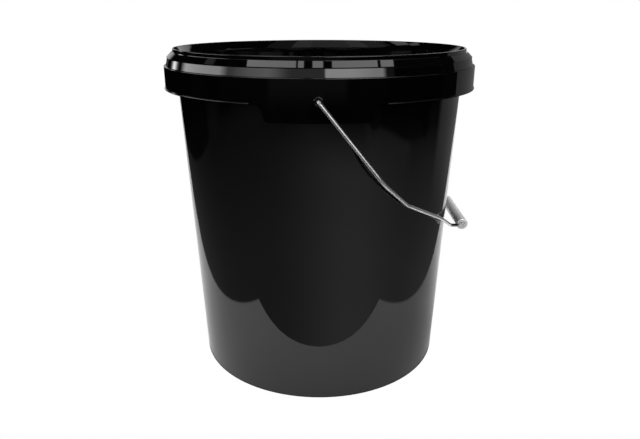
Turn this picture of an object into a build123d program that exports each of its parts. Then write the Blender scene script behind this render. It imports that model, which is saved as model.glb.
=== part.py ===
from build123d import *
import os
from math import acos, asin, atan2, cos, degrees, hypot, isclose, radians, sin, tan

# A moulded pail with a press-on lid, a wire bail and a tube grip, in millimetres.
# The origin is on the floor under the middle of the pail, and +Z is up.
# The bail turns about an axis along Y and hangs on the +X side.

# Pail wall and base
pail_height = 335.5         # rim above the floor
base_radius = 137.0         # outside of the wall at the floor
rim_radius = 151.0          # outside of the wall at the rim
wall = 1.9
floor_thickness = 2.6
foot_height = 4.0           # base panel above the floor
foot_width = 5.0            # standing ring, where it meets the floor
foot_draft = 2.0            # lean of the standing ring's inner side
base_edge_radius = 0.35
inner_corner_radius = 4.0
gate_radius = 4.0           # moulding gate mark under the base
gate_height = 0.8

# Pail rim
rim_bead = 3.0              # bead that the lid snaps over
rim_bead_height = 4.5
rim_edge_radius = 0.8

# Collar round the pail: a ledge with a skirt hanging from it
collar_stand = 12.1         # collar's outside from the wall
collar_drop = 7.35          # collar's top below the rim
collar_depth = 22.75
collar_wall = 2.0
ledge_thickness = 2.0
collar_edge_radius = 0.6    # upper outer edge of the collar
skirt_bead = 0.8            # bead along the skirt's lower edge, between the aprons
skirt_bead_height = 1.25
bead_face_height = 0.55     # upright part of the bead's outside
bead_stop = 4.0             # bead's end from where the edge turns down to an apron
side_margin = 9.0           # how far the skirt's side view runs past the collar
gusset_pitch = 15.0         # degrees between the gussets under the ledge
gusset_thickness = 1.6
gusset_inset = 4.0          # gussets end this far above the skirt's edge

# Ears: two aprons that drop from the skirt and hold the bail
apron_depth = 37.3          # below the collar's top
apron_foot_width = 91.0
apron_flare = 4.4           # how much wider each side is at the skirt's edge
apron_root_radius = 7.0
apron_corner_radius = 3.0
web_inset = 4.0             # side webs from the apron's lower corners
pivot_drop = 18.75          # bail hole below the collar's top
pivot_play = 0.75           # bail hole round the wire
boss_width = 1.5            # rim of the boss round the hole
boss_rise = 0.8
boss_round = 0.6            # outer edge of the boss
hole_mouth_round = 0.5

# Lid
lid_wall = 1.9
lid_rise = 9.35             # lid's crest above the pail's rim
crest_offset = 1.55         # crest's outside from the middle of the pail's rim
crest_width = 1.5
crest_height = 3.55         # upright outside of the crest
crest_step = 1.4            # chamfer's start outside the crest
crest_thickness = 6.25      # crest down to the seal's groove
chamfer_drop = 8.55         # crest down to the foot of the outer chamfer
lid_lip = 0.3               # lip at the foot of the chamfer
lid_lip_height = 0.4
crease_depth = 0.6          # crease under the lip
crease_height = 0.62
bevel_height = 9.1          # inner bevel, crest to plug wall
bevel_bow = 0.75            # corner of the bevel's two sides, from a straight bevel
bevel_round = 32.0          # rounding of that corner
ledge_show = 2.17           # ledge left bare round the foot of the lid's skirt
lid_skirt_flare = 1.6       # how much further out the skirt's foot is than its top
lid_seat_gap = 0.15         # lid's skirt above the ledge
plug_gap = 0.5              # plug wall inside the pail's wall
recess_depth = 24.55        # crest down to the lid's panel
panel_corner_radius = 3.0
disc_radius = 112.0         # raised middle of the panel
disc_rise = 1.6
snap_gap = 0.4              # snap bead from the pail's rim bead
snap_land = 0.6
snap_ramp = 1.2
lid_edge_radius = 0.6

# Lid seal
seal_width = 2.3
seal_gap = 0.3              # seal above the pail's rim
seal_side_gap = 0.05        # seal from the sides of its groove

# Bail wire
wire_radius = 1.75
arm_gap = 1.14              # arms from the skirt's bead
arm_length = 91.0           # pivot to the shoulder's bend
arm_slope = 51.2            # degrees below level, at rest
elbow_drop = 101.4          # elbow below the pivot
elbow_azimuth = 33.1        # elbow's place round the pail, in degrees from its ear
knee_drop = 131.0           # knee below the pivot
knee_azimuth = 57.5         # knee's place round the pail, in degrees from its ear
knee_stand = 5.5            # knee from the pail's wall
jog_length = 13.5           # level run out to the grip's axis
shoulder_gap = 0.4          # wire from the pail where it comes nearest
hook_length = 8.0           # hooked end inside the ear
hook_bend_radius = 3.5
pivot_bend_radius = 3.2
shoulder_bend_radius = 24.0
elbow_bend_radius = 8.0
knee_bend_radius = 30.0
jog_bend_radius = 4.0
grip_bend_radius = 4.0

# Grip
grip_radius = 6.0
grip_wall = 1.25
grip_length = 88.0
grip_drop = 150.35          # grip below the pivot
grip_gap = 7.9              # grip from the pail's wall at rest
grip_mouth_gap = 0.6        # hole in each turned-in end, round the wire
grip_play = 0.3             # wire from that hole, where it lies nearest
grip_end_radius = 0.9
grip_mouth_round = 0.3

# Heights and radii that follow from the sizes above
taper = (rim_radius - base_radius) / pail_height
floor_top = foot_height + floor_thickness
collar_top = pail_height - collar_drop
ledge_bottom = collar_top - ledge_thickness
ledge_middle = collar_top - ledge_thickness / 2
bead_bottom = pail_height - rim_bead_height
skirt_bottom = collar_top - collar_depth
apron_bottom = collar_top - apron_depth
pivot_height = collar_top - pivot_drop
elbow_height = pivot_height - elbow_drop
knee_height = pivot_height - knee_drop
grip_height = pivot_height - grip_drop


def outside_at(height):
    """Outer radius of the pail's wall."""
    return base_radius + taper * height


def inside_at(height):
    """Inner radius of the pail's wall."""
    return outside_at(height) - wall


def rounded(corners):
    """Closed outline from rows of across, up and the radius of that corner."""
    points = [(across, up) for across, up, radius in corners]
    return FilletPolyline(*points, radius=[radius for across, up, radius in corners], close=True)


def nearest_radius(edge):
    """Distance from the pail's axis to the nearer end of an edge."""
    return min(hypot(end.X, end.Y) for end in (edge @ 0, edge @ 1))


def on_ear_face(edge):
    """Whether an edge lies on the outer face of a boss."""
    return isclose(abs((edge @ 0).Y), ear_face) and isclose(abs((edge @ 1).Y), ear_face)


def radial_plane(angle):
    """Upright plane through the pail's axis: local X runs outwards, local Y up."""
    turn = radians(angle)
    outwards = (cos(turn), sin(turn), 0)
    return Plane(origin=(0, 0, 0), x_dir=outwards, z_dir=(sin(turn), -cos(turn), 0))


collar_radius = outside_at(collar_top) + collar_stand
skirt_inside = collar_radius - collar_wall
skirt_middle = collar_radius - collar_wall / 2
ear_face = collar_radius + boss_rise
rim_outside = rim_radius + rim_bead
rim_middle = (inside_at(pail_height) + rim_outside) / 2
hole_radius = wire_radius + pivot_play
boss_radius = hole_radius + boss_width
boss_rim_middle = hole_radius + boss_width / 2

ear_azimuths = (-90, 90)

# The skirt's side view: a band whose lower edge drops round each apron.
# It runs past the collar at the sides and the top, where the collar itself ends it.
side_end = collar_radius + side_margin
side_top = collar_top + side_margin
apron_foot = apron_foot_width / 2
apron_head = apron_foot + apron_flare
skirt_side = [
    (-side_end, side_top, 0),
    (-side_end, skirt_bottom, 0),
    (-apron_head, skirt_bottom, apron_root_radius),
    (-apron_foot, apron_bottom, apron_corner_radius),
    (apron_foot, apron_bottom, apron_corner_radius),
    (apron_head, skirt_bottom, apron_root_radius),
    (side_end, skirt_bottom, 0),
    (side_end, side_top, 0),
]

# Bead along the skirt's lower edge, from one apron's root round to the other's: a flat face with a
# rounded shoulder over it
root_turn = atan2(skirt_bottom - apron_bottom, apron_flare)
bead_start = apron_head + apron_root_radius * tan(root_turn / 2) + bead_stop
bead_turn = degrees(asin(bead_start / collar_radius))
with BuildPart() as bead:
    for ear in ear_azimuths:
        with BuildSketch(radial_plane(ear + bead_turn)):
            with BuildLine():
                face = Polyline(
                    (collar_radius, skirt_bottom + skirt_bead_height),
                    (skirt_middle, skirt_bottom + skirt_bead_height),
                    (skirt_middle, skirt_bottom),
                    (collar_radius + skirt_bead, skirt_bottom),
                    (collar_radius + skirt_bead, skirt_bottom + bead_face_height),
                )
                TangentArc(face @ 1, face @ 0, tangent=face % 1)
            make_face()
        revolve(axis=Axis.Z, revolution_arc=180 - 2 * bead_turn)

# Skirt of the collar with both aprons and the bead
with BuildPart() as skirt:
    with BuildSketch(Plane.XY.offset(apron_bottom)):
        Circle(collar_radius)
        Circle(skirt_inside, mode=Mode.SUBTRACT)
    extrude(amount=apron_depth)
    with BuildSketch(Plane.XZ):
        with BuildLine():
            rounded(skirt_side)
        make_face()
    extrude(amount=side_end, both=True, mode=Mode.INTERSECT)
    top_edge = skirt.edges().filter_by(GeomType.CIRCLE).filter_by(
        lambda edge: isclose((edge @ 0).Z, collar_top) and nearest_radius(edge) > skirt_middle
    )
    fillet(top_edge, radius=collar_edge_radius)
    add(bead.part)

# Gussets under the ledge, and taller webs behind the sides of each apron
web_turn = degrees(asin((apron_foot - web_inset) / collar_radius))
apron_turn = degrees(asin((apron_head + apron_root_radius) / collar_radius))
gusset_feet = {}
for ear in ear_azimuths:
    gusset_feet[ear - web_turn] = apron_bottom + gusset_inset
    gusset_feet[ear + web_turn] = apron_bottom + gusset_inset
for step in range(int(360 / gusset_pitch)):
    azimuth = step * gusset_pitch - 180
    from_ear = min(abs(azimuth - ear) for ear in ear_azimuths)
    if from_ear > apron_turn:
        gusset_feet[azimuth] = skirt_bottom + gusset_inset

with BuildPart() as pail:
    # Turned section: base panel, standing ring, wall, ledge and rim bead
    with BuildSketch(Plane.XZ):
        with BuildLine():
            rounded([
                (0, foot_height - gate_height, 0),
                (gate_radius, foot_height - gate_height, 0),
                (gate_radius, foot_height, 0),
                (base_radius - foot_width - foot_draft, foot_height, 0),
                (base_radius - foot_width, 0, 0),
                (base_radius, 0, base_edge_radius),
                (outside_at(ledge_bottom), ledge_bottom, 0),
                (skirt_middle, ledge_bottom, 0),
                (skirt_middle, collar_top, 0),
                (outside_at(collar_top), collar_top, 0),
                (outside_at(bead_bottom), bead_bottom, 0),
                (rim_outside, bead_bottom, rim_edge_radius),
                (rim_outside, pail_height, rim_edge_radius),
                (inside_at(pail_height), pail_height, rim_edge_radius),
                (inside_at(floor_top), floor_top, inner_corner_radius),
                (0, floor_top, 0),
            ])
        make_face()
    revolve(axis=Axis.Z)
    add(skirt.part)
    for azimuth, foot in gusset_feet.items():
        with BuildSketch(radial_plane(azimuth)):
            with BuildLine():
                Polyline(
                    (outside_at(foot) - wall / 2, foot),
                    (skirt_middle, foot),
                    (skirt_middle, ledge_middle),
                    (outside_at(ledge_middle) - wall / 2, ledge_middle),
                    close=True,
                )
            make_face()
        extrude(amount=gusset_thickness / 2, both=True)
    # Boss and bail hole in each ear
    boss_length = collar_wall + boss_rise
    boss_middle = skirt_inside + boss_length / 2
    with Locations((0, -boss_middle, pivot_height), (0, boss_middle, pivot_height)):
        Cylinder(boss_radius, boss_length, rotation=(90, 0, 0))
    with Locations(
        Location((0, -ear_face, pivot_height), (90, 0, 0)),
        Location((0, ear_face, pivot_height), (-90, 0, 0)),
    ):
        Hole(hole_radius, depth=2 * boss_length)
    boss_edges = pail.edges().filter_by(GeomType.CIRCLE).filter_by(on_ear_face)
    fillet(boss_edges.filter_by(lambda edge: edge.radius > boss_rim_middle), radius=boss_round)
    mouth_edges = pail.edges().filter_by(GeomType.CIRCLE).filter_by(on_ear_face)
    fillet(mouth_edges.filter_by(lambda edge: edge.radius < boss_rim_middle), radius=hole_mouth_round)

# Lid: crest over the pail's rim, plug wall and recessed panel inside it, skirt outside it
lid_top = pail_height + lid_rise
panel_top = lid_top - recess_depth
panel_bottom = panel_top - lid_wall
crest_radius = rim_middle + crest_offset
crest_foot = lid_top - crest_height
chamfer_foot = lid_top - chamfer_drop
lip_foot = chamfer_foot - lid_lip_height
crease_foot = lip_foot - crease_height
lid_foot_radius = collar_radius - ledge_show
lid_skirt_radius = lid_foot_radius - lid_skirt_flare
lid_skirt_inside = lid_skirt_radius - lid_wall
lid_skirt_foot = collar_top + lid_seat_gap
groove_ceiling = lid_top - crest_thickness
groove_half = seal_width / 2 + seal_side_gap
snap_radius = rim_outside + snap_gap
snap_top = bead_bottom - snap_gap
snap_foot = snap_top - snap_ramp - snap_land


def plug_outside_at(height):
    """Outer radius of the lid's plug wall, which leans as the pail's wall does."""
    return inside_at(height) - plug_gap


# The inner bevel bows towards the recess
bevel_foot = lid_top - bevel_height
bevel_foot_radius = plug_outside_at(bevel_foot) - lid_wall
bevel_head_radius = crest_radius - crest_width
bevel_run = bevel_head_radius - bevel_foot_radius
bow_share = bevel_bow / hypot(bevel_run, bevel_height)
bow_radius = (bevel_foot_radius + bevel_head_radius) / 2 - bevel_height * bow_share
bow_height = lid_top - bevel_height / 2 + bevel_run * bow_share

with BuildPart() as lid:
    with BuildSketch(Plane.XZ):
        with BuildLine():
            rounded([
                (0, panel_top + disc_rise, 0),
                (disc_radius, panel_top + disc_rise, 0),
                (disc_radius + disc_rise, panel_top, 0),
                (plug_outside_at(panel_top) - lid_wall, panel_top, panel_corner_radius),
                (bevel_foot_radius, bevel_foot, 0),
                (bow_radius, bow_height, bevel_round),
                (bevel_head_radius, lid_top, lid_edge_radius),
                (crest_radius, lid_top, lid_edge_radius),
                (crest_radius, crest_foot, 0),
                (crest_radius + crest_step, crest_foot, 0),
                (lid_skirt_radius + lid_lip, chamfer_foot, 0),
                (lid_skirt_radius + lid_lip, lip_foot, 0),
                (lid_skirt_radius - crease_depth, lip_foot, 0),
                (lid_skirt_radius - crease_depth, crease_foot, 0),
                (lid_skirt_radius, crease_foot, 0),
                (lid_foot_radius, lid_skirt_foot, 0),
                (lid_foot_radius - lid_wall, lid_skirt_foot, 0),
                (snap_radius, snap_foot, 0),
                (snap_radius, snap_top - snap_ramp, 0),
                (lid_skirt_inside, snap_top, 0),
                (lid_skirt_inside, chamfer_foot - lid_wall, 0),
                (rim_middle + groove_half, groove_ceiling, 0),
                (rim_middle - groove_half, groove_ceiling, 0),
                (plug_outside_at(bevel_foot), bevel_foot, 0),
                (plug_outside_at(panel_bottom), panel_bottom, panel_corner_radius + lid_wall),
                (disc_radius + disc_rise - lid_wall, panel_bottom, 0),
                (disc_radius - lid_wall, panel_bottom + disc_rise, 0),
                (0, panel_bottom + disc_rise, 0),
            ])
        make_face()
    revolve(axis=Axis.Z)

# Seal ring in the lid's groove, over the pail's rim
with BuildPart() as lid_seal:
    with BuildSketch(Plane.XY.offset(pail_height + seal_gap)):
        Circle(rim_middle + seal_width / 2)
        Circle(rim_middle - seal_width / 2, mode=Mode.SUBTRACT)
    extrude(amount=groove_ceiling - pail_height - seal_gap)

# Grip: a tube with turned-in ends, which hangs on the wire by their holes
grip_half = grip_length / 2
grip_bore_radius = grip_radius - grip_wall
grip_bore_half = grip_half - grip_wall
grip_mouth_radius = wire_radius + grip_mouth_gap
grip_axis_x = outside_at(grip_height) + grip_gap + grip_radius
grip_wire_height = grip_height + grip_mouth_gap - grip_play

with BuildPart() as grip:
    with BuildSketch(Plane.XY.offset(grip_height).move(Location((grip_axis_x, 0, 0)))):
        with BuildLine():
            rounded([
                (grip_mouth_radius, -grip_half, grip_mouth_round),
                (grip_radius, -grip_half, grip_end_radius),
                (grip_radius, grip_half, grip_end_radius),
                (grip_mouth_radius, grip_half, grip_mouth_round),
                (grip_mouth_radius, grip_bore_half, 0),
                (grip_bore_radius, grip_bore_half, 0),
                (grip_bore_radius, -grip_bore_half, 0),
                (grip_mouth_radius, -grip_bore_half, 0),
            ])
        make_face()
    revolve(axis=Axis((grip_axis_x, 0, grip_height), (0, 1, 0)))

# Bail wire: hooked ends in the ears, upright arms, shoulders that pass the pail's wall from elbow to
# knee, a jog out to the grip and the run through it. Each shoulder passes the wall one gap clear of it.
arm_offset = collar_radius + skirt_bead + arm_gap + wire_radius
hook_offset = (outside_at(pivot_height) + skirt_inside) / 2
jog_y = grip_half + grip_bend_radius
knee_turn = radians(knee_azimuth)
knee_radius = outside_at(knee_height) + knee_stand
clear_radius = outside_at(elbow_height) + shoulder_gap + wire_radius
nearest_azimuth = knee_turn - acos(clear_radius / knee_radius)
elbow_turn = radians(elbow_azimuth)
elbow_radius = clear_radius / cos(nearest_azimuth - elbow_turn)


def along_arm(distance, offset):
    """Point of the arm's slope, at a distance from the pivot and an offset towards -Y."""
    slope = radians(arm_slope)
    return (distance * cos(slope), -offset, pivot_height - distance * sin(slope))


front_half = [
    along_arm(hook_length, hook_offset),
    along_arm(0, hook_offset),
    along_arm(0, arm_offset),
    along_arm(arm_length, arm_offset),
    (elbow_radius * sin(elbow_turn), -elbow_radius * cos(elbow_turn), elbow_height),
    (knee_radius * sin(knee_turn), -knee_radius * cos(knee_turn), knee_height),
    (grip_axis_x - jog_length, -jog_y, grip_wire_height),
    (grip_axis_x, -jog_y, grip_wire_height),
]
back_half = [(x, -y, z) for x, y, z in reversed(front_half)]
front_bends = [
    hook_bend_radius,
    pivot_bend_radius,
    shoulder_bend_radius,
    elbow_bend_radius,
    knee_bend_radius,
    jog_bend_radius,
    grip_bend_radius,
]

with BuildPart() as bail_wire:
    with BuildLine() as wire_path:
        FilletPolyline(*front_half, *back_half, radius=front_bends + front_bends[::-1])
    with BuildSketch(Plane(origin=wire_path.line @ 0, z_dir=wire_path.line % 0)):
        Circle(wire_radius)
    sweep(path=wire_path.line)

os.makedirs("parts", exist_ok=True)

pail.part.label = "pail"
export_step(pail.part, "parts/pail.step")

lid.part.label = "lid"
export_step(lid.part, "parts/lid.step")

lid_seal.part.label = "lid_seal"
export_step(lid_seal.part, "parts/lid_seal.step")

bail_wire.part.label = "bail_wire"
export_step(bail_wire.part, "parts/bail_wire.step")

grip.part.label = "grip"
export_step(grip.part, "parts/grip.step")
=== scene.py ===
from math import cos, degrees, radians, sin

import bmesh
import bpy
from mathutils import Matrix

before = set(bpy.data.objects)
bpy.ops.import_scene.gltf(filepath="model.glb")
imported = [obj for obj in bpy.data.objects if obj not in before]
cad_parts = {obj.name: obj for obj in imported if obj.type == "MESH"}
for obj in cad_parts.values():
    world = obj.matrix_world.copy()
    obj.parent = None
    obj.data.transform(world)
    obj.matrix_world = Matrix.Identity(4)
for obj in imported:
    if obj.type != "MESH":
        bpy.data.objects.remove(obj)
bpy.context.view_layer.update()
scene = bpy.context.scene
scene.view_settings.view_transform = "Standard"

SMOOTH = "SMOOTHSTEP"
WHITE, BLACK = (1, 1, 1, 1), (0, 0, 0, 1)
NOISE_LOW, NOISE_HIGH = 0.3, 0.7  # the part of a noise's range that is used

# The photograph's camera, worked out from the bucket's rings
IMAGE_WIDTH = 640
FOCAL_PIXELS = 585.2
SHIFT_PIXELS = 0.65
SENSOR_WIDTH = 36
PITCH = radians(19.5)
TURN = radians(0.3)
CAMERA_AWAY, CAMERA_UP = 0.6506, 0.379


# Node helpers

class Nodes:
    """A node tree with short ways to add nodes and join sockets."""

    def __init__(self, tree):
        self.tree = tree
        tree.nodes.clear()

    def add(self, kind, **settings):
        node = self.tree.nodes.new(kind)
        for name, value in settings.items():
            setattr(node, name, value)
        return node

    def feed(self, socket, value):
        if isinstance(value, bpy.types.NodeSocket):
            self.tree.links.new(value, socket)
        else:
            socket.default_value = value

    def math(self, operation, *values):
        node = self.add("ShaderNodeMath", operation=operation)
        for socket, value in zip(node.inputs, values):
            self.feed(socket, value)
        return node.outputs[0]

    def spread(self, value, low, high, start, end, kind="LINEAR"):
        """Maps a value from low..high to start..end, and holds it outside."""
        node = self.add("ShaderNodeMapRange", interpolation_type=kind)
        for socket, part in zip(node.inputs, (value, low, high, start, end)):
            self.feed(socket, part)
        return node.outputs[0]

    def within(self, value, low, high, soft):
        """1 between low and high, 0 outside, with soft edges."""
        rise = self.spread(value, low - soft, low + soft, 0, 1, SMOOTH)
        fall = self.spread(value, high - soft, high + soft, 1, 0, SMOOTH)
        return self.math("MULTIPLY", rise, fall)

    def fold(self, operation, parts):
        out = parts[0]
        for part in parts[1:]:
            out = self.math(operation, out, part)
        return out

    def total(self, parts):
        return self.fold("ADD", parts)

    def product(self, parts):
        return self.fold("MULTIPLY", parts)

    def highest(self, parts):
        return self.fold("MAXIMUM", parts)

    def spot(self):
        """The three coordinates of a point on the object, in metres."""
        split = self.add("ShaderNodeSeparateXYZ")
        self.feed(split.inputs[0], self.add("ShaderNodeTexCoord").outputs["Object"])
        return split.outputs

    def noise(self, scale, detail=2.0, stretch=(1, 1, 1)):
        """Noise fixed to the object, with scale in cycles per metre."""
        place = self.add("ShaderNodeTexCoord")
        mapping = self.add("ShaderNodeMapping")
        mapping.inputs["Scale"].default_value = stretch
        self.feed(mapping.inputs["Vector"], place.outputs["Object"])
        node = self.add("ShaderNodeTexNoise")
        node.inputs["Scale"].default_value = scale
        node.inputs["Detail"].default_value = detail
        self.feed(node.inputs["Vector"], mapping.outputs[0])
        return node.outputs[0]

    def by_noise(self, noise, start, end):
        return self.spread(noise, NOISE_LOW, NOISE_HIGH, start, end)


def material(name):
    made = bpy.data.materials.new(name)
    made.use_nodes = True
    return made, Nodes(made.node_tree)


def finished(nodes, **values):
    """A Principled shader joined to the output, with sockets set by name."""
    shader = nodes.add("ShaderNodeBsdfPrincipled")
    for name, value in values.items():
        nodes.feed(shader.inputs[name.replace("_", " ")], value)
    out = nodes.add("ShaderNodeOutputMaterial")
    nodes.feed(out.inputs["Surface"], shader.outputs[0])


def tint(nodes, noise, dark, light):
    """A colour between dark and light, by a noise."""
    ramp = nodes.add("ShaderNodeValToRGB")
    ends = ((NOISE_LOW, dark), (NOISE_HIGH, light))
    for element, (position, color) in zip(ramp.color_ramp.elements, ends):
        element.position = position
        element.color = (*color, 1)
    nodes.feed(ramp.inputs[0], noise)
    return ramp.outputs[0]


def bumped(nodes, height, distance):
    bump = nodes.add("ShaderNodeBump")
    bump.inputs["Strength"].default_value = 1.0
    bump.inputs["Distance"].default_value = distance
    nodes.feed(bump.inputs["Height"], height)
    return bump.outputs[0]


# Materials

# Stretches of the wire, in metres out from the pail's axis, and the heights of its level jog
WIRE_EAR = (0.001, 0.004)
WIRE_ELBOW = (0.053, 0.0585)
WIRE_KNEE = (0.08, 0.088)
WIRE_JOG = (0.1425, 0.1455)
WIRE_AT_GRIP = (0.1512, 0.1565)
WIRE_IN_GRIP = (0.155, 0.1565)
JOG_HEIGHTS = (0.159, 0.1598)

STREAK_SCALE, CLOUD_SCALE, METAL_DETAIL = 700, 60, 3
STREAK_DEPTH = 0.000004


def gloss_black(name, cloud_scale):
    """Glossy moulded plastic, with a faint cloud and a very fine grain."""
    made, nodes = material(name)
    cloud = nodes.noise(cloud_scale, 3)
    fine = nodes.noise(900, 2)
    finished(
        nodes,
        Base_Color=tint(nodes, cloud, (0.0006, 0.0006, 0.0007), (0.0012, 0.0012, 0.0013)),
        Roughness=nodes.by_noise(fine, 0.02, 0.035),
        Normal=bumped(nodes, fine, 0.0000003),
        IOR=1.5,
    )
    return made


def plated_wire(name):
    """Plated wire with painted light and shade: painted darker on the arms, painted black beside
    the grip and painted pale inside its end.
    """
    made, nodes = material(name)
    streak = nodes.noise(STREAK_SCALE, METAL_DETAIL)
    cloud = nodes.noise(CLOUD_SCALE, METAL_DETAIL)
    out, _, up = nodes.spot()
    arm = 0.36
    # Painted light and shade along the wire: its colour is darker on the arms and lighter past
    # the elbow and the knee, standing in for how brightly each stretch mirrors the lights.
    painted_shade_along_wire = nodes.highest([
        nodes.spread(out, *WIRE_EAR, 0.48, arm),
        nodes.spread(out, *WIRE_ELBOW, arm, 0.72),
        nodes.spread(out, *WIRE_KNEE, arm, 1.0),
    ])
    # Painted shade and light by the grip: the top of the level jog is painted black in place of a
    # dark reflection, and the wire inside the grip's end is painted pale to cover the shade of
    # the hole.
    painted_jog_shade_and_end_light = nodes.total([
        nodes.spread(up, *JOG_HEIGHTS, 0.35, 0.006),
        nodes.spread(out, *WIRE_AT_GRIP, 0, 0.6),
    ])
    shine = nodes.total([
        nodes.product([painted_shade_along_wire, nodes.spread(out, *WIRE_JOG, 1, 0)]),
        nodes.product([painted_jog_shade_and_end_light, nodes.spread(out, *WIRE_JOG, 0, 1)]),
    ])
    finished(
        nodes,
        Base_Color=nodes.product([shine, nodes.by_noise(cloud, 0.96, 1.03)]),
        # Less metallic inside the grip's end, so that the painted pale colour shows.
        Metallic=nodes.spread(out, *WIRE_IN_GRIP, 1, 0.4),
        Roughness=nodes.by_noise(streak, 0.32, 0.4),
        Normal=bumped(nodes, streak, STREAK_DEPTH),
    )
    return made


def satin_tube(name):
    """Satin metal, drawn along the tube."""
    made, nodes = material(name)
    streak = nodes.noise(STREAK_SCALE, METAL_DETAIL, (1, 0.03, 1))
    cloud = nodes.noise(CLOUD_SCALE, METAL_DETAIL)
    finished(
        nodes,
        Base_Color=tint(nodes, cloud, (0.72, 0.72, 0.73), (0.8, 0.8, 0.81)),
        Metallic=0.5,
        Roughness=nodes.by_noise(streak, 0.24, 0.32),
        Normal=bumped(nodes, streak, STREAK_DEPTH),
    )
    return made


def soft_rubber(name):
    made, nodes = material(name)
    grain = nodes.noise(1500, 2)
    finished(
        nodes,
        Base_Color=tint(nodes, grain, (0.03, 0.03, 0.03), (0.06, 0.06, 0.06)),
        Roughness=nodes.by_noise(grain, 0.55, 0.75),
        Normal=bumped(nodes, grain, 0.00002),
    )
    return made


looks = {
    "pail": gloss_black("pail_gloss", 35),
    "lid": gloss_black("lid_gloss", 42),
    "lid_seal": soft_rubber("seal_soft"),
    "bail_wire": plated_wire("bail_plated"),
    "grip": satin_tube("grip_satin"),
}
for node, look in looks.items():
    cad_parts[node].data.materials.clear()
    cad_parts[node].data.materials.append(look)


# Stage: the camera sees the floor and the backdrop, and the gloss mirrors the plate and the card

STAGE_REACH = 30
FLOOR_LEVEL, PLATE_LEVEL = -0.0004, -0.0006


def flat(name, corners):
    mesh = bpy.data.meshes.new(name)
    mesh.from_pydata(corners, [], [range(len(corners))])
    return mesh


def staged(mesh, look, mirrored):
    mesh.materials.append(look)
    thing = bpy.data.objects.new(mesh.name, mesh)
    scene.collection.objects.link(thing)
    thing.visible_camera = not mirrored
    thing.visible_glossy = mirrored
    thing.visible_diffuse = mirrored
    thing.visible_transmission = mirrored
    thing.visible_shadow = False


white, nodes = material("stage_white")
white_light = nodes.add("ShaderNodeEmission")
white_out = nodes.add("ShaderNodeOutputMaterial")
nodes.feed(white_out.inputs["Surface"], white_light.outputs[0])

floor_signs = ((-1, -1), (1, -1), (1, 1), (-1, 1))
floor_corners = [(x * STAGE_REACH, y * STAGE_REACH, FLOOR_LEVEL) for x, y in floor_signs]
staged(flat("floor", floor_corners), white, False)

dome = bmesh.new()
bmesh.ops.create_uvsphere(dome, u_segments=24, v_segments=12, radius=0.9 * STAGE_REACH)
dome_mesh = bpy.data.meshes.new("backdrop")
dome.to_mesh(dome_mesh)
dome.free()
staged(dome_mesh, white, False)

# The pale plate that the bucket's wall mirrors. Its sides run along the camera's lines of sight,
# and its colour and glow carry a painted shadow, darkest under the bucket, and painted light,
# lightest at its front.
PLATE_FRONT, PLATE_BACK = -0.225, 2.5
PLATE_HALF_VIEW = 0.417
# Radii of the bucket's base edge, inside which the plate is painted in shadow
BASE_EDGE = (0.1368, 0.1395)


def plate_half(y):
    return PLATE_HALF_VIEW * ((y + CAMERA_AWAY) * cos(PITCH) + CAMERA_UP * sin(PITCH))


plate_look, nodes = material("stage_plate")
across, along, _ = nodes.spot()
half_width = nodes.spread(
    along, PLATE_FRONT, PLATE_BACK, plate_half(PLATE_FRONT), plate_half(PLATE_BACK),
)
plate_edge = nodes.math("DIVIDE", nodes.math("ABSOLUTE", across), half_width)
# Painted light falling from the left: the plate glows more on its left and less on its right,
# most near its front.
plate_painted_light_lean = nodes.product([
    nodes.spread(across, -0.3, 0.3, 0.19, -0.19),
    nodes.spread(along, 0.05, 0.3, 1, 0.25),
])
plate_glow = nodes.total([
    nodes.math("ADD", plate_painted_light_lean, 0.23),
    nodes.spread(along, -0.05, -0.22, 0, 0.3, SMOOTH),
    nodes.spread(along, 0, 0.25, 0, 0.1),
])
squares = [nodes.math("POWER", part, 2) for part in (across, along)]
from_axis = nodes.math("SQRT", nodes.total(squares))
# Painted shadow and shade: the plate's colour and glow drop to a fifth under the bucket, fade
# towards the back and the far left, and rise on the far right.
plate_painted_shade = nodes.product([
    nodes.spread(along, 0.6, 2.0, 1, 0.4),
    nodes.spread(across, -0.4, -0.15, 0.8, 1),
    nodes.spread(across, 0.15, 0.35, 1, 1.15),
    nodes.spread(from_axis, *BASE_EDGE, 0.2, 1),
])
finished(
    nodes,
    Base_Color=nodes.product([plate_painted_shade, 0.8]),
    Roughness=1.0,
    Specular_IOR_Level=0.0,
    Emission_Color=WHITE,
    Emission_Strength=nodes.product([plate_painted_shade, plate_glow]),
    Alpha=nodes.spread(plate_edge, 0.96, 1.0, 1, 0, SMOOTH),
)
plate_corners = [
    (side * plate_half(y), y, PLATE_LEVEL)
    for side, y in ((-1, PLATE_FRONT), (1, PLATE_FRONT), (1, PLATE_BACK), (-1, PLATE_BACK))
]
staged(flat("plate", plate_corners), plate_look, True)

# A dim upright card close to the bucket on its right, with a soft, slanted front edge.
# Its outline is given along the floor and upwards, in metres.
CARD_START, CARD_END = (0.2543, -0.0541), (0.1992, 0.1671)
CARD_LENGTH = 0.228
CARD_OUTLINE = [
    (0.002, 0.09), (0.095, 0.09), (0.165, 0.215), (0.228, 0.29), (0.228, 0.436),
    (0.09, 0.436), (0.009, 0.355), (0.009, 0.284), (0.002, 0.28),
]
card_corners = [
    (
        *(start + (end - start) * far / CARD_LENGTH for start, end in zip(CARD_START, CARD_END)),
        high,
    )
    for far, high in CARD_OUTLINE
]
card_look, nodes = material("stage_dim")
_, back, up = nodes.spot()
card_front = nodes.highest([
    nodes.spread(up, 0.278, 0.288, 0, 1),
    nodes.spread(back, -0.05, -0.026, 0, 1, SMOOTH),
])
finished(
    nodes,
    Base_Color=BLACK,
    Specular_IOR_Level=0.0,
    Emission_Color=WHITE,
    Emission_Strength=nodes.spread(up, 0.26, 0.3, 0.155, 0.185),
    Alpha=nodes.product([card_front, nodes.spread(up, 0.09, 0.22, 0, 1, SMOOTH)]),
)
staged(flat("card", card_corners), card_look, True)

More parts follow.
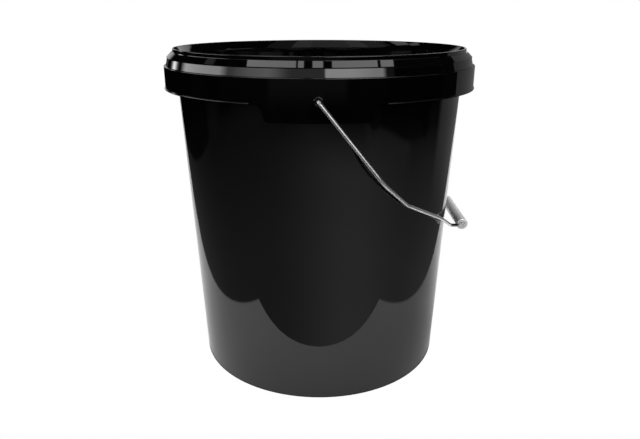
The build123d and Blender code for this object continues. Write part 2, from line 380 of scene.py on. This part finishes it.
# Studio light around the bucket, by direction in degrees: azimuth 0 is the camera's side, and
# positive is to its right.
world = bpy.data.worlds.new("studio")
scene.world = world
world.use_nodes = True
sky = Nodes(world.node_tree)
axes = sky.add("ShaderNodeSeparateXYZ")
sky.feed(axes.inputs[0], sky.add("ShaderNodeTexCoord").outputs["Generated"])
x, y, z = axes.outputs
to_front = sky.math("MULTIPLY", y, -1.0)
azimuth = sky.math("MULTIPLY", sky.math("ARCTAN2", x, to_front), degrees(1))
height = sky.math("MULTIPLY", sky.math("ARCSINE", z), degrees(1))
above = sky.math("MAXIMUM", z, 0.05)
across_above = sky.math("DIVIDE", x, above)
along_above = sky.math("DIVIDE", y, above)


def softbox(left, right, low, high, power, soft=1.0):
    """A window of light between two azimuths and two heights."""
    return sky.product([
        sky.within(azimuth, left, right, soft),
        sky.within(height, low, high, soft),
        power,
    ])


def overhead(left, right, power):
    """A strip of the panel above the bucket, by slopes from the upright."""
    return sky.product([
        sky.within(across_above, left, right, 0.004),
        sky.within(along_above, -0.25, 0.45, 0.02),
        power,
    ])


def bell(middle, width):
    """1 at an azimuth, falling off to both sides."""
    off = sky.math("DIVIDE", sky.math("SUBTRACT", azimuth, middle), width)
    return sky.math("EXPONENT", sky.product([off, off, -1.0]))


# Dark things on the studio's floor, to the left and the right of the bucket, with lower edges
off_left = sky.math("DIVIDE", sky.math("ADD", azimuth, 119.0), 17.0)
above_left = sky.math("ADD", height, 15.3)
over_left = sky.math("SUBTRACT", above_left, sky.math("MULTIPLY", off_left, off_left))
edge_right = sky.highest([
    sky.spread(azimuth, 44, 72, -14.15, -15.25),
    sky.spread(azimuth, 80, 92, -15.25, -14.4),
])
over_right = sky.math("SUBTRACT", height, edge_right)
shade = sky.highest([
    sky.product([
        sky.spread(azimuth, -102.5, -99, 1, 0),
        sky.spread(over_left, -0.35, 0.35, 0, 1, SMOOTH),
    ]),
    sky.product([
        sky.within(azimuth, -85, -73, 2),
        sky.spread(height, -13.2, -12.2, 0, 1, SMOOTH),
    ]),
    sky.product([
        sky.within(azimuth, 49, 97, 2),
        sky.spread(over_right, -0.4, 0.5, 0, 1, SMOOTH),
    ]),
])

# The studio's floor beyond the plate, which the wall mirrors
floor_lights = [
    sky.product([
        sky.spread(height, -27, -10, 0.148, 0.008),
        sky.spread(shade, 0, 1, 1, 0.2),
    ]),
    sky.product([
        sky.within(azimuth, -97, -88, 1.5),
        sky.within(height, -13.6, -10, 0.8),
        0.014,
    ]),
    sky.product([
        sky.within(azimuth, 39, 78, 5),
        sky.spread(over_right, -0.7, 0.45, 0.1, 0, SMOOTH),
        sky.spread(height, -19, -16, 0, 1),
    ]),
    sky.product([bell(28, 45), sky.spread(height, -20.5, -13.8, 0.39, 0, SMOOTH)]),
    sky.product([bell(100, 30), sky.spread(height, -16, -12.5, 0.07, 0)]),
    sky.product([bell(-50, 35), sky.spread(height, -15, -11, 0.04, 0, SMOOTH)]),
    sky.product([bell(-50, 14), sky.within(height, -14.3, -12.3, 0.6), 0.02]),
    sky.product([bell(-5, 21), sky.within(height, -19, -12.5, 2), 0.05]),
]

# Windows of light round the bucket, which the lid's rim, the collar and the skirt mirror
left_window = sky.product([
    sky.within(height, 2.5, 21, 1),
    sky.spread(azimuth, -108, -76, 4.2, 5.3),
    sky.spread(azimuth, -119, -109.5, 0, 1, SMOOTH),
    sky.spread(azimuth, -75.5, -66.8, 1, 0),
])
front_rise = sky.math(
    "ADD",
    sky.spread(azimuth, -68, -52, 0.75, 2.1),
    sky.spread(azimuth, -52, -38, 0, 0.5),
)
front_window = sky.product([
    softbox(-68, 4.0, 4, 30, 1),
    front_rise,
    sky.spread(azimuth, -38, -18, 1, 0.23, SMOOTH),
])
right_window = sky.product([
    softbox(4.4, 55, 4, 30, 6.5),
    sky.spread(azimuth, 24, 41, 1, 0.75),
    sky.spread(azimuth, 45.5, 49.8, 1, 0.03, SMOOTH),
])
window_lights = [
    softbox(-122, -116, 39.5, 44.5, 0.25),
    right_window,
    left_window,
    sky.product([bell(-129.7, 4), sky.within(height, 1, 12, 1), 5.2]),
    front_window,
    sky.product([sky.within(azimuth, -35, 19, 3.5), sky.within(height, -7.8, -2, 1.6), 0.078]),
    sky.product([softbox(49, 100, 1, 9, 1.0), sky.spread(azimuth, 52, 80, 1, 0.3)]),
    sky.product([softbox(49, 100, 21, 31, 2.5), sky.spread(azimuth, 52, 75, 1, 0.3)]),
]

# White backdrop behind the bucket, which the steel mirrors: azimuths, heights, power and softness
backdrop_windows = [
    (151, 173, -6, 24, 1.0, 3),
    (173, 182, 10, 30, 0.45, 2),
    (-182, -166, 10, 30, 0.45, 2),
    (-166, -150, 0, 14, 0.8, 3),
]

# Paler windows that only the lid's inner bevel mirrors: azimuths, heights and power
bevel_windows = [
    (-33, 9.5, 33, 72, 0.5),
    (9.5, 29.5, 33, 72, 0.66),
    (29.5, 57, 30, 68, 0.15),
    (-52, -33, 37.5, 70, 0.7),
    (-72.5, -52, 38.8, 66, 0.36),
    (-79, -72.5, 39.5, 62, 0.2),
    (-104, -87.5, 40.3, 53, 1.6),
    (-116, -104, 37, 42, 1.2),
]

# Panel above the bucket: the left and right slopes and the power of its strips
overhead_strips = [
    (-0.574, -0.176, 3.3),
    (-0.1605, -0.1165, 3.4),
    (-0.05, 0.0285, 3.4),
    (0.0965, 0.452, 3.3),
    (0.478, 0.589, 3.1),
]

lights = floor_lights + window_lights
lights += [softbox(*window) for window in backdrop_windows + bevel_windows]
lights += [overhead(*strip) for strip in overhead_strips]
background = sky.add("ShaderNodeBackground")
sky.feed(background.inputs["Strength"], sky.total(lights))
sky_out = sky.add("ShaderNodeOutputWorld")
sky.feed(sky_out.inputs["Surface"], background.outputs[0])
world.cycles.sampling_method = "MANUAL"
world.cycles.sample_map_resolution = 2048

# Camera
lens = bpy.data.cameras.new("camera")
lens.sensor_width = SENSOR_WIDTH
lens.lens = SENSOR_WIDTH * FOCAL_PIXELS / IMAGE_WIDTH
lens.shift_x = SHIFT_PIXELS / IMAGE_WIDTH
lens.clip_start = 0.05
lens.clip_end = 200
camera = bpy.data.objects.new("camera", lens)
scene.collection.objects.link(camera)
camera.location = (CAMERA_AWAY * sin(TURN), -CAMERA_AWAY * cos(TURN), CAMERA_UP)
camera.rotation_euler = (radians(90) - PITCH, 0, TURN)
scene.camera = camera
